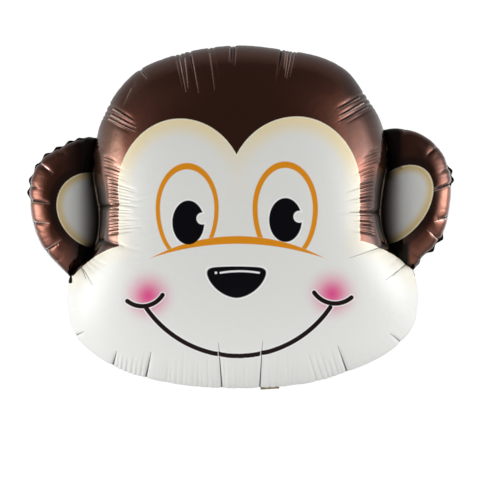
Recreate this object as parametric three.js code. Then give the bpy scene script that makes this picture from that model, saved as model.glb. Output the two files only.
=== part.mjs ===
// A foil balloon in the shape of a monkey's head with two ears, inflated and lying on its back with
// its face up. X runs to the right of the face, Y up to the crown, Z out of the face, in millimetres.
// Two flat foil sheets are welded along the rim and along a short band between the head and each
// ear. The gas space is solid here: each sheet is a closed solid that reaches the plane of the weld.
import * as THREE from "three";
import { mergeVertices } from "three/addons/utils/BufferGeometryUtils.js";

// Driving sizes
const HEAD_WIDTH = 466; // cheek to cheek
const HEAD_HEIGHT = 456; // crown to chin
const EAR_REACH = 76; // how far an ear stands out from the line between its two roots
const FRONT_RISE = 125; // the face above the weld's plane
const BACK_RISE = 122; // the back below the weld's plane, before it is flattened where it rests
const REST_SAG = 2; // how far the back is flattened where it rests
const EAR_RISE = 37; // each ear above and below the weld's plane
const SEAM_WIDTH = 4; // the welded margin round the rim
const BAND_WIDTH = 3; // the weld between the head and an ear
const SEAM_PLY = 0.4; // one sheet's share of the welded margin
const SHEET_GAP = 0.3; // between the two sheets, all over the weld's plane
const BULGE = 3; // how far the inflated edge hangs out over the margin
const BULGE_RISE = 7; // the height of that overhang above the margin
const PASSAGE_RISE = 14; // the gas passages between head and ear, above and below the band
const UPPER_PASSAGE = 44; // length of the passage above the band
const LOWER_PASSAGE = 56; // length of the passage below the band
const NOTCH_BLEND = 26; // the margin and the overhang fade out over this length at an ear's root
const TAIL_WIDTH = 25; // the filling tail, folded under the back
const TAIL_LENGTH = 62; // of the stretch that lies along the back
const TAIL_THICKNESS = 0.8; // two plies with the valve film between them
const TAIL_OFFSET = 36; // to the right of the head's middle
const TAIL_REACH = 2.5; // how far the fold stands out past the rim
const TAIL_GAP = 1; // between the tail and the back

// Fineness of the facets
const CROWN_COLUMNS = 30;
const CHIN_COLUMNS = 36;
const NECK_COLUMNS = 14;
const EAR_COLUMNS = 20;
const HARMONICS = 20;
const TAIL_STEPS = 10;
const CURVE_SAMPLES = 24; // for each column, to measure lengths along a curve
const SAME_POINT = 1e-3; // corners closer than this are one

// The share of the way from a lobe's middle to its edge at which each ring of facets lies. The
// rings inside the line at half way have every second column only.
const HEAD_RINGS = [0.988, 0.96, 0.915, 0.85, 0.76, 0.64, 0.5];
const HEAD_INNER_RINGS = [0.36, 0.2];
const EAR_RINGS = [0.97, 0.9, 0.78, 0.6];
const EAR_INNER_RINGS = [0.35];
const DOME_POWER = 2.35; // 2 is an ellipse; inflated foil is a little fuller

// The head's outline, anticlockwise, in hundredths of its width and height from its middle
const CROWN = [
  [40.0, 25.5], [38.1, 30.5], [34.4, 36.3], [29.6, 42.6], [21.9, 46.7], [11.0, 48.8], [-0.1, 50.0],
  [-11.0, 49.1], [-21.0, 46.7], [-29.6, 42.9], [-35.6, 36.9], [-39.6, 29.9], [-41.7, 23.2],
];
const LEFT_NECK = [
  [-42.3, 17.3], [-42.6, 11.8], [-41.7, 6.2], [-41.0, 1.6], [-41.0, -3.1], [-41.9, -7.8],
  [-43.9, -11.9], [-46.6, -14.8],
];
const CHIN = [
  [-49.4, -17.4], [-50.0, -22.7], [-49.7, -28.5], [-47.6, -34.7], [-42.1, -40.1], [-34.7, -44.6],
  [-25.3, -47.5], [-13.9, -49.4], [-1.0, -50.0], [11.9, -49.4], [23.0, -47.4], [33.3, -43.7],
  [40.7, -39.9], [45.9, -35.5], [48.9, -30.9], [50.0, -25.3], [49.7, -20.3], [48.6, -15.7],
];
const RIGHT_NECK = [
  [45.9, -13.3], [42.7, -10.1], [40.4, -6.3], [39.3, -1.4], [39.3, 3.9], [40.1, 9.7], [41.1, 15.3],
  [40.9, 20.3],
];

// An ear's free edge from its upper root to its lower one, in hundredths of the line between the
// roots and of the reach
const LEFT_EAR = [
  [1.8, 23], [7.2, 46], [13.4, 66], [19.8, 83], [27.9, 95], [37.3, 100], [47.2, 98], [58.2, 91],
  [69.6, 80], [79.8, 64], [86.7, 47], [93.3, 25],
];
const RIGHT_EAR = [
  [0.6, 21], [3.5, 43], [7.5, 61], [14.3, 79], [22.8, 92], [31.5, 98], [40.9, 100], [51.8, 95],
  [62.5, 86], [72.2, 76], [81.0, 62], [87.5, 42], [92.2, 22],
];

const SEAM_FACE = SHEET_GAP / 2 + SEAM_PLY; // a sheet's outer face on the margin, from the plane
const INNER_FACE = SHEET_GAP / 2;

const smooth = (x) => {
  const t = Math.min(1, Math.max(0, x));
  return t * t * (3 - 2 * t);
};

// Points of the head's frame in millimetres, from hundredths
const headPoint = ([x, y]) => new THREE.Vector3((x * HEAD_WIDTH) / 100, (y * HEAD_HEIGHT) / 100, 0);

// Splits a curve's stretch between two of its control points into even lengths
function evenly(curve, from, to, columns) {
  const fine = columns * CURVE_SAMPLES;
  const points = [];
  for (let i = 0; i <= fine; i++) points.push(curve.getPoint(from + ((to - from) * i) / fine));
  const lengths = [0];
  for (let i = 1; i <= fine; i++) lengths.push(lengths[i - 1] + points[i].distanceTo(points[i - 1]));
  const out = [];
  let k = 0;
  for (let i = 0; i < columns; i++) {
    const want = (lengths[fine] * i) / columns;
    while (lengths[k + 1] < want) k++;
    const share = (want - lengths[k]) / (lengths[k + 1] - lengths[k]);
    out.push(points[k].clone().lerp(points[k + 1], share));
  }
  return out;
}

// The head's outline as four stretches. Each starts at a root of an ear.
function headStretches() {
  const lists = [CROWN, LEFT_NECK, CHIN, RIGHT_NECK];
  const control = lists.flat().map(headPoint);
  const curve = new THREE.CatmullRomCurve3(control, true, "catmullrom", 0.5);
  const n = control.length;
  const leftRoot = CROWN.length - 1;
  const leftEnd = CROWN.length + LEFT_NECK.length;
  const rightEnd = leftEnd + CHIN.length - 1;
  return {
    crown: evenly(curve, 0, leftRoot / n, CROWN_COLUMNS),
    leftNeck: evenly(curve, leftRoot / n, leftEnd / n, NECK_COLUMNS),
    chin: evenly(curve, leftEnd / n, rightEnd / n, CHIN_COLUMNS),
    rightNeck: evenly(curve, rightEnd / n, 1, NECK_COLUMNS),
  };
}

// An ear's free edge, from the root where it starts, anticlockwise, without the last root
function earStretch(shares, upper, lower, side) {
  const chord = lower.clone().sub(upper);
  const outward = new THREE.Vector3(chord.y, -chord.x, 0).normalize().multiplyScalar(side);
  const at = ([along, out]) =>
    upper.clone().addScaledVector(chord, along / 100).addScaledVector(outward, (out * EAR_REACH) / 100);
  const control = [upper, ...shares.map(at), lower];
  if (side < 0) control.reverse();
  const curve = new THREE.CatmullRomCurve3(control, false, "catmullrom", 0.5);
  return evenly(curve, 0, 1, EAR_COLUMNS);
}

// A closed outline of one lobe. Each point knows how far it is from an ear's root, and whether it
// is on the neck, where the lobe meets another and has no free edge.
function lobeOutline(stretches) {
  const points = stretches.flatMap((s) => s.points);
  const isNeck = stretches.flatMap((s) => s.points.map(() => s.neck));
  const n = points.length;
  const step = points.map((p, i) => p.distanceTo(points[(i + 1) % n]));
  const starts = [];
  stretches.reduce((at, s) => (starts.push(at), at + s.points.length), 0);
  return points.map((p, i) => {
    const around = (direction) => {
      let length = 0;
      let k = i;
      while (!starts.includes(k)) {
        length += step[direction > 0 ? k : (k - 1 + n) % n];
        k = (k + direction + n) % n;
      }
      return { length, root: k };
    };
    const [back, ahead] = [around(-1), around(1)];
    const before = points[(i - 1 + n) % n];
    const after = points[(i + 1) % n];
    const outward = (a, b) => new THREE.Vector3(b.y - a.y, a.x - b.x, 0).normalize();
    const normal = outward(before, p).add(outward(p, after)).normalize();
    const toRoot = Math.min(back.length, ahead.length);
    const root = points[back.length < ahead.length ? back.root : ahead.root];
    return { p, normal, neck: isNeck[i] && toRoot > 0, toRoot, atTop: root.y > 0 };
  });
}

// How a lobe's edge stands at a point of its outline: the rise of its gas passage, the inset of the
// weld's inner line and how much of the free edge's bulge it has
function edgeAt(o) {
  const fade = smooth(o.toRoot / NOTCH_BLEND);
  if (!o.neck) return { rise: 0, inset: SEAM_WIDTH * fade, bulge: fade };
  const passage = o.atTop ? UPPER_PASSAGE : LOWER_PASSAGE;
  const open = o.toRoot < passage ? Math.sin((Math.PI * o.toRoot) / passage) ** 2 : 0;
  return { rise: PASSAGE_RISE * open, inset: (BAND_WIDTH / 2) * fade, bulge: 0 };
}

// The smooth map of a disc to a lobe that keeps its edge: each harmonic of the edge fades towards
// the middle, and so does each harmonic of the edge's height
function discMap(edge) {
  const n = edge.length;
  const waves = [];
  for (let k = -HARMONICS; k <= HARMONICS; k++) {
    const wave = { k, re: 0, im: 0, zRe: 0, zIm: 0 };
    edge.forEach((p, i) => {
      const c = Math.cos((2 * Math.PI * k * i) / n) / n;
      const s = Math.sin((2 * Math.PI * k * i) / n) / n;
      wave.re += p.x * c + p.y * s;
      wave.im += p.y * c - p.x * s;
      wave.zRe += p.z * c;
      wave.zIm -= p.z * s;
    });
    waves.push(wave);
  }
  const inside = (share, i) => {
    const out = new THREE.Vector3();
    for (const { k, re, im, zRe, zIm } of waves) {
      const fade = share ** Math.abs(k);
      const c = fade * Math.cos((2 * Math.PI * k * i) / n);
      const s = fade * Math.sin((2 * Math.PI * k * i) / n);
      out.x += re * c - im * s;
      out.y += re * s + im * c;
      out.z += zRe * c - zIm * s;
    }
    return out;
  };
  const missed = edge.map((p, i) => p.clone().sub(inside(1, i)));
  return (share, i) => inside(share, i).addScaledVector(missed[i], share ** HARMONICS);
}

// How high a dome of unit height stands at a share of the way to its edge. It works both ways: it
// also gives the share at which the dome has a height.
const domeAt = (share) => (1 - share ** DOME_POWER) ** (1 / DOME_POWER);

// One lobe of one sheet as rings of points from the weld's inner line inwards, above the weld's
// plane. What would rise past the cut is flat there.
function lobeRings(outline, rise, shares, innerShares, cut = Infinity) {
  const edges = outline.map(edgeAt);
  const seam = outline.map((o, i) =>
    o.p.clone().addScaledVector(o.normal, -edges[i].inset).setZ(SEAM_FACE + edges[i].rise));
  const widest = seam.map((p, i) =>
    p.clone()
      .addScaledVector(outline[i].normal, BULGE * edges[i].bulge)
      .setZ(p.z + BULGE_RISE * edges[i].bulge));
  const map = discMap(widest);
  const place = (share, i) => {
    const p = map(share, i);
    return p.setZ(Math.min(cut, p.z + (rise - p.z) * domeAt(share)));
  };
  const full = outline.map((_, i) => i);
  const half = full.filter((i) => i % 2 === 0);
  return {
    seam,
    rings: [seam, widest, ...shares.map((share) => full.map((i) => place(share, i)))],
    innerRings: innerShares.map((share) => half.map((i) => place(share, i))),
    middle: place(0, 0),
  };
}

// Collects triangles; the corners of one that has no area are dropped
class Skin {
  constructor() {
    this.corners = [];
  }
  face(a, b, c) {
    const shortest = Math.min(a.distanceTo(b), b.distanceTo(c), c.distanceTo(a));
    if (shortest > SAME_POINT) this.corners.push(a, b, c);
  }
  quad(a, b, c, d) {
    this.face(a, b, c);
    this.face(a, c, d);
  }
  // A strip between two rows of points; the first row is on the right of the way along them
  strip(right, left, closed) {
    const n = right.length;
    for (let i = 0; i < (closed ? n : n - 1); i++) {
      const j = (i + 1) % n;
      this.quad(right[i], right[j], left[j], left[i]);
    }
  }
  // A strip from a closed row to one inside it with half as many points
  halvingStrip(outer, inner) {
    inner.forEach((p, i) => {
      const next = inner[(i + 1) % inner.length];
      const [a, b, c] = [outer[2 * i], outer[2 * i + 1], outer[(2 * i + 2) % outer.length]];
      this.face(a, b, p);
      this.face(b, next, p);
      this.face(b, c, next);
    });
  }
  fan(row, middle) {
    row.forEach((p, i) => this.face(p, row[(i + 1) % row.length], middle));
  }
  // The faces as one closed geometry; turned over where the sheet faces down
  geometry(faceDown) {
    const flat = this.corners.flatMap((p) => [p.x, p.y, faceDown ? -p.z : p.z]);
    const made = new THREE.BufferGeometry();
    made.setAttribute("position", new THREE.Float32BufferAttribute(flat, 3));
    const merged = mergeVertices(made, SAME_POINT);
    if (faceDown) merged.setIndex([...merged.index.array].reverse());
    merged.computeVertexNormals();
    return merged;
  }
}

const lowered = (row) => row.map((p) => p.clone().setZ(INNER_FACE));

// The outlines of the head and both ears, which share their necks
function balloonOutlines() {
  const { crown, leftNeck, chin, rightNeck } = headStretches();
  const leftFree = earStretch(LEFT_EAR, leftNeck[0], chin[0], 1);
  const rightFree = earStretch(RIGHT_EAR, crown[0], rightNeck[0], -1);
  const upward = (neck, end) => [end, ...neck.slice(1).reverse()];
  return {
    head: lobeOutline([
      { points: crown, neck: false },
      { points: leftNeck, neck: true },
      { points: chin, neck: false },
      { points: rightNeck, neck: true },
    ]),
    leftEar: lobeOutline([
      { points: leftFree, neck: false },
      { points: upward(leftNeck, chin[0]), neck: true },
    ]),
    rightEar: lobeOutline([
      { points: rightFree, neck: false },
      { points: upward(rightNeck, crown[0]), neck: true },
    ]),
  };
}

// One foil sheet with its gas space as a closed solid: three domes, the welded margin and bands
// between them, the rim's edge, and the flat inner side on the weld's plane
function sheetSkin(outlines, rise, cut) {
  const skin = new Skin();
  // The flattened place gets a ring of its own just where it starts
  const last = HEAD_INNER_RINGS.length - 1;
  const headInner = HEAD_INNER_RINGS.map((share, i) => (cut && i === last ? domeAt(cut / rise) : share));
  const head = lobeRings(outlines.head, rise, HEAD_RINGS, headInner, cut);
  const leftEar = lobeRings(outlines.leftEar, EAR_RISE, EAR_RINGS, EAR_INNER_RINGS);
  const rightEar = lobeRings(outlines.rightEar, EAR_RISE, EAR_RINGS, EAR_INNER_RINGS);
  for (const lobe of [head, leftEar, rightEar]) {
    lobe.rings.slice(1).forEach((row, i) => skin.strip(lobe.rings[i], row, true));
    skin.halvingStrip(lobe.rings.at(-1), lobe.innerRings[0]);
    lobe.innerRings.slice(1).forEach((row, i) => skin.strip(lobe.innerRings[i], row, true));
    skin.fan(lobe.innerRings.at(-1), lobe.middle);
    const inner = lowered(lobe.seam);
    const under = lobe.middle.clone().setZ(INNER_FACE);
    inner.forEach((p, i) => skin.face(inner[(i + 1) % inner.length], p, under));
  }
  const rimOf = (outline) => outline.map((o) => o.p.clone().setZ(SEAM_FACE));
  const margin = (outline, lobe, from, count) => {
    const n = outline.length;
    const pick = (row) => Array.from({ length: count + 1 }, (_, i) => row[(from + i) % n]);
    const [rim, seam] = [pick(rimOf(outline)), pick(lobe.seam)];
    skin.strip(rim, seam, false);
    skin.strip(lowered(seam), lowered(rim), false);
    skin.strip(lowered(rim), rim, false);
  };
  const chinAt = CROWN_COLUMNS + NECK_COLUMNS;
  margin(outlines.head, head, 0, CROWN_COLUMNS);
  margin(outlines.head, head, chinAt, CHIN_COLUMNS);
  margin(outlines.leftEar, leftEar, 0, EAR_COLUMNS);
  margin(outlines.rightEar, rightEar, 0, EAR_COLUMNS);
  const band = (ear, from) => {
    const nHead = head.seam.length;
    const nEar = ear.seam.length;
    const headSide = Array.from({ length: NECK_COLUMNS + 1 }, (_, i) => head.seam[(from + i) % nHead]);
    const earSide = headSide.map((_, i) => ear.seam[(nEar - i) % nEar]);
    skin.strip(earSide, headSide, false);
    skin.strip(lowered(headSide), lowered(earSide), false);
  };
  band(leftEar, CROWN_COLUMNS);
  band(rightEar, chinAt + CHIN_COLUMNS);
  return { skin, head };
}

// The filling tail: a flat strip that leaves the rim at the chin, folds under and follows the back
function tailGeometry(outlines, back) {
  const outline = outlines.head;
  const isPast = (o) => o.p.x > TAIL_OFFSET;
  const i = outline.findIndex((o, k) => o.p.y < 0 && !o.neck && !isPast(o) && isPast(outline[k + 1]));
  const [left, right] = [outline[i], outline[i + 1]];
  const share = (TAIL_OFFSET - left.p.x) / (right.p.x - left.p.x);
  const between = (a, b) => a.clone().lerp(b, share);
  const rim = between(left.p, right.p);
  const outward = between(left.normal, right.normal).normalize();
  const across = new THREE.Vector3(-outward.y, outward.x, 0);
  // The back's side from the overhang inwards, under the weld's plane
  const under = back.rings.slice(1).map((row) => between(row[i], row[i + 1]));
  const side = new THREE.CatmullRomCurve3(under.map((p) => p.setZ(-p.z)));
  const fold = [
    [SHEET_GAP, 0],
    [TAIL_REACH - TAIL_THICKNESS, -TAIL_THICKNESS / 4],
    [TAIL_REACH - TAIL_THICKNESS / 2, -TAIL_REACH / 2],
    [TAIL_REACH - TAIL_THICKNESS / 2, -TAIL_REACH],
  ];
  const path = fold.map(([out, up]) => rim.clone().addScaledVector(outward, out).setZ(up));
  for (let k = 0; k <= TAIL_STEPS; k++) {
    const t = ((k / TAIL_STEPS) * TAIL_LENGTH) / side.getLength();
    const off = new THREE.Vector3().crossVectors(side.getTangentAt(t), across).normalize();
    path.push(side.getPointAt(t).addScaledVector(off, TAIL_GAP + TAIL_THICKNESS / 2));
  }
  const half = across.clone().multiplyScalar(TAIL_WIDTH / 2);
  const rows = path.map((p, k) => {
    const along = path[Math.min(k + 1, path.length - 1)].clone().sub(path[Math.max(k - 1, 0)]);
    const off = along.cross(across).normalize().multiplyScalar(TAIL_THICKNESS / 2);
    return [
      p.clone().sub(half).sub(off),
      p.clone().add(half).sub(off),
      p.clone().add(half).add(off),
      p.clone().sub(half).add(off),
    ];
  });
  const skin = new Skin();
  rows.slice(1).forEach((row, k) => skin.strip(rows[k], row, true));
  skin.quad(...rows[0].toReversed());
  skin.quad(...rows.at(-1));
  return skin.geometry(false);
}

const foil = (name, colour) =>
  new THREE.MeshStandardMaterial({ name, color: colour, roughness: 0.3, metalness: 0.6 });

function balloon() {
  const group = new THREE.Group();
  const outlines = balloonOutlines();
  const front = sheetSkin(outlines, FRONT_RISE);
  const back = sheetSkin(outlines, BACK_RISE, BACK_RISE - REST_SAG);
  const add = (name, geometry, material) => {
    const mesh = new THREE.Mesh(geometry, material);
    mesh.name = name;
    group.add(mesh);
  };
  add("front_foil", front.skin.geometry(false), foil("printed_foil", 0xe9e6e0));
  add("back_foil", back.skin.geometry(true), foil("brown_foil", 0x5a2d22));
  add("filling_tail", tailGeometry(outlines, back.head), foil("tail_film", 0x9a7a52));
  return group;
}

const model = balloon();
const box = new THREE.Box3().setFromObject(model);
model.position.set(-(box.min.x + box.max.x) / 2, -(box.min.y + box.max.y) / 2, -box.min.z);

export default model;
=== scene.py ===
import math

import bpy
import numpy as np
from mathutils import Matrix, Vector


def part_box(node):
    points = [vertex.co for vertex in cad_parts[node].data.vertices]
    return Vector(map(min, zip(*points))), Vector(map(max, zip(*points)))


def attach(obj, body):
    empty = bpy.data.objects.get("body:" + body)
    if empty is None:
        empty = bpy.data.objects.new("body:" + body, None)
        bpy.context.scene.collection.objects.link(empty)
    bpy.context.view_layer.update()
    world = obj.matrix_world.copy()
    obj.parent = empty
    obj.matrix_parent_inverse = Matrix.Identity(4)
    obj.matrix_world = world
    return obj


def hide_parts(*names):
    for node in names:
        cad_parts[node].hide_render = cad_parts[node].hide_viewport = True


# The looks of a filled foil balloon in the shape of a monkey's head, which lies on its back with
# its face up. Lengths are millimetres in the head's own frame: X right, Y to the crown, Z out of
# the face from the weld's plane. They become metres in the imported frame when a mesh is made.

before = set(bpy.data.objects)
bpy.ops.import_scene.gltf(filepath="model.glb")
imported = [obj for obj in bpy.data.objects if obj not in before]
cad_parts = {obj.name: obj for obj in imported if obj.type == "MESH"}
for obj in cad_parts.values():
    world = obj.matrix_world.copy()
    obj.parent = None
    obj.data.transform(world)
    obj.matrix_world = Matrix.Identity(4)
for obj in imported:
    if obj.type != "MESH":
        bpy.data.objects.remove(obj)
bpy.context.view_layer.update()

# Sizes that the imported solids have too
HEAD_WIDTH, HEAD_HEIGHT = 466, 456
EAR_REACH = 76
FRONT_RISE, BACK_RISE, REST_SAG, EAR_RISE = 125, 122, 2, 37
SEAM_WIDTH, BAND_WIDTH, SEAM_PLY, SHEET_GAP = 4, 3, 0.4, 0.3
BULGE, BULGE_RISE = 3, 7
PASSAGE_RISE, UPPER_PASSAGE, LOWER_PASSAGE = 14, 44, 56
NOTCH_BLEND = 26
DOME_POWER = 2.35
HARMONICS = 20
SEAM_FACE = SHEET_GAP / 2 + SEAM_PLY
INNER_FACE = SHEET_GAP / 2

# The outline's points, in hundredths, as in the part's source
CROWN = [
    (40.0, 25.5), (38.1, 30.5), (34.4, 36.3), (29.6, 42.6), (21.9, 46.7), (11.0, 48.8), (-0.1, 50.0),
    (-11.0, 49.1), (-21.0, 46.7), (-29.6, 42.9), (-35.6, 36.9), (-39.6, 29.9), (-41.7, 23.2),
]
LEFT_NECK = [
    (-42.3, 17.3), (-42.6, 11.8), (-41.7, 6.2), (-41.0, 1.6), (-41.0, -3.1), (-41.9, -7.8),
    (-43.9, -11.9), (-46.6, -14.8),
]
CHIN = [
    (-49.4, -17.4), (-50.0, -22.7), (-49.7, -28.5), (-47.6, -34.7), (-42.1, -40.1), (-34.7, -44.6),
    (-25.3, -47.5), (-13.9, -49.4), (-1.0, -50.0), (11.9, -49.4), (23.0, -47.4), (33.3, -43.7),
    (40.7, -39.9), (45.9, -35.5), (48.9, -30.9), (50.0, -25.3), (49.7, -20.3), (48.6, -15.7),
]
RIGHT_NECK = [
    (45.9, -13.3), (42.7, -10.1), (40.4, -6.3), (39.3, -1.4), (39.3, 3.9), (40.1, 9.7), (41.1, 15.3),
    (40.9, 20.3),
]
LEFT_EAR = [
    (1.8, 23), (7.2, 46), (13.4, 66), (19.8, 83), (27.9, 95), (37.3, 100), (47.2, 98), (58.2, 91),
    (69.6, 80), (79.8, 64), (86.7, 47), (93.3, 25),
]
RIGHT_EAR = [
    (0.6, 21), (3.5, 43), (7.5, 61), (14.3, 79), (22.8, 92), (31.5, 98), (40.9, 100), (51.8, 95),
    (62.5, 86), (72.2, 76), (81.0, 62), (87.5, 42), (92.2, 22),
]
# How the solids' columns are shared out, which sets how the rings run inside the outline
SOLID_COLUMNS = {"crown": 30, "neck": 14, "chin": 36, "ear": 20}

# Where the head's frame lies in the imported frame
front_low, front_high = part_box("front_foil")
back_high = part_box("back_foil")[1]
WELD_Z = (front_low.z + back_high.z) / 2

# The photograph: its scale at the weld's plane, the picture's place on it and the camera
PIXEL = 4 / 3
PHOTO_SIZE = 480
PHOTO_MIDDLE = (240.5, 218)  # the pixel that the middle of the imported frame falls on
CAMERA_HEIGHT = 2000  # above the weld's plane


def smooth(x):
    t = np.clip(x, 0, 1)
    return t * t * (3 - 2 * t)


# Outlines

def catmull_rom(points, closed):
    """A curve through the points, as a function of a share from 0 to 1."""
    p = np.array(points, float)
    if closed:
        p = np.vstack([p[-1], p, p[0], p[1]])
        spans = len(points)
    else:
        p = np.vstack([2 * p[0] - p[1], p, 2 * p[-1] - p[-2]])
        spans = len(points) - 1

    def at(share):
        s = np.clip(np.asarray(share) * spans, 0, spans - 1e-9)
        i = s.astype(int)
        w = (s - i)[:, None]
        before, start, end, after = p[i], p[i + 1], p[i + 2], p[i + 3]
        out, into = (end - before) / 2, (after - start) / 2
        return ((2 * w**3 - 3 * w**2 + 1) * start + (w**3 - 2 * w**2 + w) * out
                + (3 * w**2 - 2 * w**3) * end + (w**3 - w**2) * into)

    return at


class Stretch:
    """A piece of an outline from one ear's root to the next, read by shares of its length."""

    def __init__(self, curve, start, end, kind):
        fine = curve(np.linspace(start, end, 4001))
        steps = np.hypot(*np.diff(fine, axis=0).T)
        self.fine = fine
        self.lengths = np.concatenate([[0], np.cumsum(steps)])
        self.kind = kind
        self.shares = None

    @property
    def length(self):
        return self.lengths[-1]

    def at(self, shares):
        want = np.asarray(shares) * self.length
        return np.stack([np.interp(want, self.lengths, self.fine[:, k]) for k in (0, 1)], 1)

    def turned(self):
        other = object.__new__(Stretch)
        other.fine = self.fine[::-1]
        other.lengths = self.length - self.lengths[::-1]
        other.kind = self.kind
        other.shares = None if self.shares is None else np.concatenate([[0], 1 - self.shares[:0:-1]])
        return other


def head_point(pair):
    return pair[0] * HEAD_WIDTH / 100, pair[1] * HEAD_HEIGHT / 100


def make_stretches():
    control = [head_point(p) for p in CROWN + LEFT_NECK + CHIN + RIGHT_NECK]
    curve = catmull_rom(control, True)
    n = len(control)
    left_root = len(CROWN) - 1
    left_end = len(CROWN) + len(LEFT_NECK)
    right_end = left_end + len(CHIN) - 1
    found = {
        "crown": Stretch(curve, 0, left_root / n, "crown"),
        "left_neck": Stretch(curve, left_root / n, left_end / n, "neck"),
        "chin": Stretch(curve, left_end / n, right_end / n, "chin"),
        "right_neck": Stretch(curve, right_end / n, 1, "neck"),
    }

    def ear(shares, upper, lower, side):
        chord = lower - upper
        outward = side * np.array([chord[1], -chord[0]]) / np.hypot(*chord)
        points = [upper + chord * a / 100 + outward * b * EAR_REACH / 100 for a, b in shares]
        points = [upper, *points, lower][::side]
        return Stretch(catmull_rom(points, False), 0, 1, "ear")

    upper_left, lower_left = found["left_neck"].fine[[0, -1]]
    lower_right, upper_right = found["right_neck"].fine[[0, -1]]
    found["left_ear"] = ear(LEFT_EAR, upper_left, lower_left, 1)
    found["right_ear"] = ear(RIGHT_EAR, upper_right, lower_right, -1)
    return found


stretches = make_stretches()
all_points = np.vstack([s.fine for s in stretches.values()])
HEAD_MIDDLE = (all_points.min(0) + all_points.max(0)) / 2  # of the whole outline's box
FRAME_X = (front_low.x + front_high.x) / 2
FRAME_Y = (front_low.y + front_high.y) / 2


def pixels(points, lift):
    """Where points of the head's frame fall in the photograph. lift is their height off the weld's
    plane on either side, so the back has the front's pleats."""
    aim = (PHOTO_SIZE / 2 - np.array(PHOTO_MIDDLE)) * PIXEL * (1, -1)
    nearer = CAMERA_HEIGHT / (CAMERA_HEIGHT - lift)
    frame_shift = np.array([FRAME_X, FRAME_Y]) * 1000
    x = (points[..., 0] - HEAD_MIDDLE[0] + frame_shift[0] - aim[0]) * nearer
    y = (points[..., 1] - HEAD_MIDDLE[1] + frame_shift[1] - aim[1]) * nearer
    return np.stack([PHOTO_SIZE / 2 + x / PIXEL, PHOTO_SIZE / 2 - y / PIXEL], -1)


# Pleats and creases

class Crease:
    """A fold of the foil from the rim inwards: its two ends in the photograph's pixels, its depth in
    millimetres and its half width in pixels. dark is the half width of the painted shadow at its
    bottom, and shine says how strong the painted highlight beside it is, shift pixels off. wide is
    the depth of the broad hollow round it. It starts at begin pixels from its outer end. A crease that
    follows the skin runs along its columns, not straight."""

    on_ear = False
    follows = False

    def __init__(self, start, end, depth, width, dark=0.0, shine=0.0, shift=1.1, wide=0.0, begin=0.0):
        self.start = np.array(start, float)
        self.end = np.array(end, float)
        self.depth = depth
        self.width = width
        self.dark = dark
        self.shine = shine
        self.shift = shift
        self.wide = wide
        self.begin = begin


def train(rng, first, last, inner, count, depth, width, begin=0.0):
    """Pleats side by side. first and last are the outer ends of the outermost two, and inner is how
    far each reaches inwards at the first and at the last."""
    made = []
    for i in range(count):
        share = (i + rng.uniform(-0.22, 0.22)) / max(1, count - 1)
        start = np.array(first) * (1 - share) + np.array(last) * share
        reach = np.array(inner[0]) * (1 - share) + np.array(inner[1]) * share
        length = rng.uniform(0.6, 1.15)
        deep = depth * rng.uniform(0.6, 1.2)
        made.append(Crease(start, start + reach * length, deep, width, begin=begin))
    return made


# The photograph's creases. A row holds the values of Crease in their order: the two ends, depth and
# width, then dark, shine, shift and wide where it has them. A train's row holds those of train.
CROWN_CREASES = [
    ((176, 60), (182, 87), 1.6, 0.9, 0, 0.3, 0),
    ((180.5, 58), (187, 92), 3.2, 0.9, 0.5, 0.75, -1.1),
    ((184.5, 57), (188, 88), 1.8, 0.9, 0, 0.7, 0),
    ((190.5, 55), (197.5, 93), 2.6, 0.9, 0.9, 0.5, 1.2),
    ((209.5, 52), (214.5, 90), 2.0, 0.9, 0, 0.5, 0),
    ((214, 52), (218, 82), 1.4, 0.9),
    ((231.8, 47), (231, 62), 2.8, 0.9, 1.1, 0.4, -2.0),
    ((234.6, 47), (233.6, 66), 2.2, 0.9, 1.0, 0.3, 1.6),
    ((281.5, 50), (276.5, 81), 3.4, 0.9, 1.3),
    ((286, 51), (284, 69), 1.6, 0.9, 0, 0.6, 0),
    ((289.3, 52), (286, 77), 1.8, 0.9, 0.4, 0.6, -1.1),
    ((292.8, 52), (287.6, 79), 2.6, 0.9, 0.5, 0.55, -1.1),
    ((296, 53), (291, 77), 1.5, 0.9, 0.4, 0.4, -1.1),
    ((142, 71), (148, 78), 2.6, 1.2, 0.7, 0.5, -1.6),
    ((131, 88), (122.5, 107), 1.0, 1.0, 0, 0.35, 0),
]
SHOULDER_CREASES = [
    ((113.5, 107), (134, 119.5), 2.6, 1.0, 1.0, 0.95, -2.3),
    ((111, 113), (137, 126), 2.4, 1.0, 0.7, 1.0, -2.1),
    ((108.5, 117), (136, 130), 2.2, 1.0, 0.7, 0.9, -1.9),
    ((106, 120.5), (131, 132.5), 1.2, 1.1),
    ((359.5, 95.5), (336.2, 108.5), 2.6, 1.0, 1.0, 0.6, 2.1),
    ((363.5, 101), (338.4, 115.2), 2.4, 1.0, 0.7, 1.0, 2.1),
    ((368, 105), (337.3, 121.9), 2.4, 1.0, 0.8, 0.4, 2.0),
    ((371, 109), (345, 124), 0.8, 1.2),
]
CHIN_CREASES = [
    ((221.8, 390), (218.5, 343), 3.2, 0.9, 0.75, 1, 1.1, 1.2),
    ((112, 367), (116.5, 351), 3.0, 1.0, 0.9, 0, 0, 0.8),
    ((259.8, 391), (262.5, 341), 3.2, 0.9, 0.75, 1, 1.1, 1.2),
    ((145.5, 379), (151, 352), 3.0, 1.0, 0.9, 0, 0, 0.8),
    ((348.5, 376), (338, 346), 3.0, 1.0, 0.9, 0, 0, 0.8),
    ((75, 336), (84, 331.5), 2.6, 1.1, 0.6),
    ((403, 344), (390, 333.5), 2.8, 1.1, 0.6),
    ((70, 307), (76, 306), 1.0, 1.6),
    ((419, 311), (412, 310), 1.0, 1.6),
]
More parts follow.
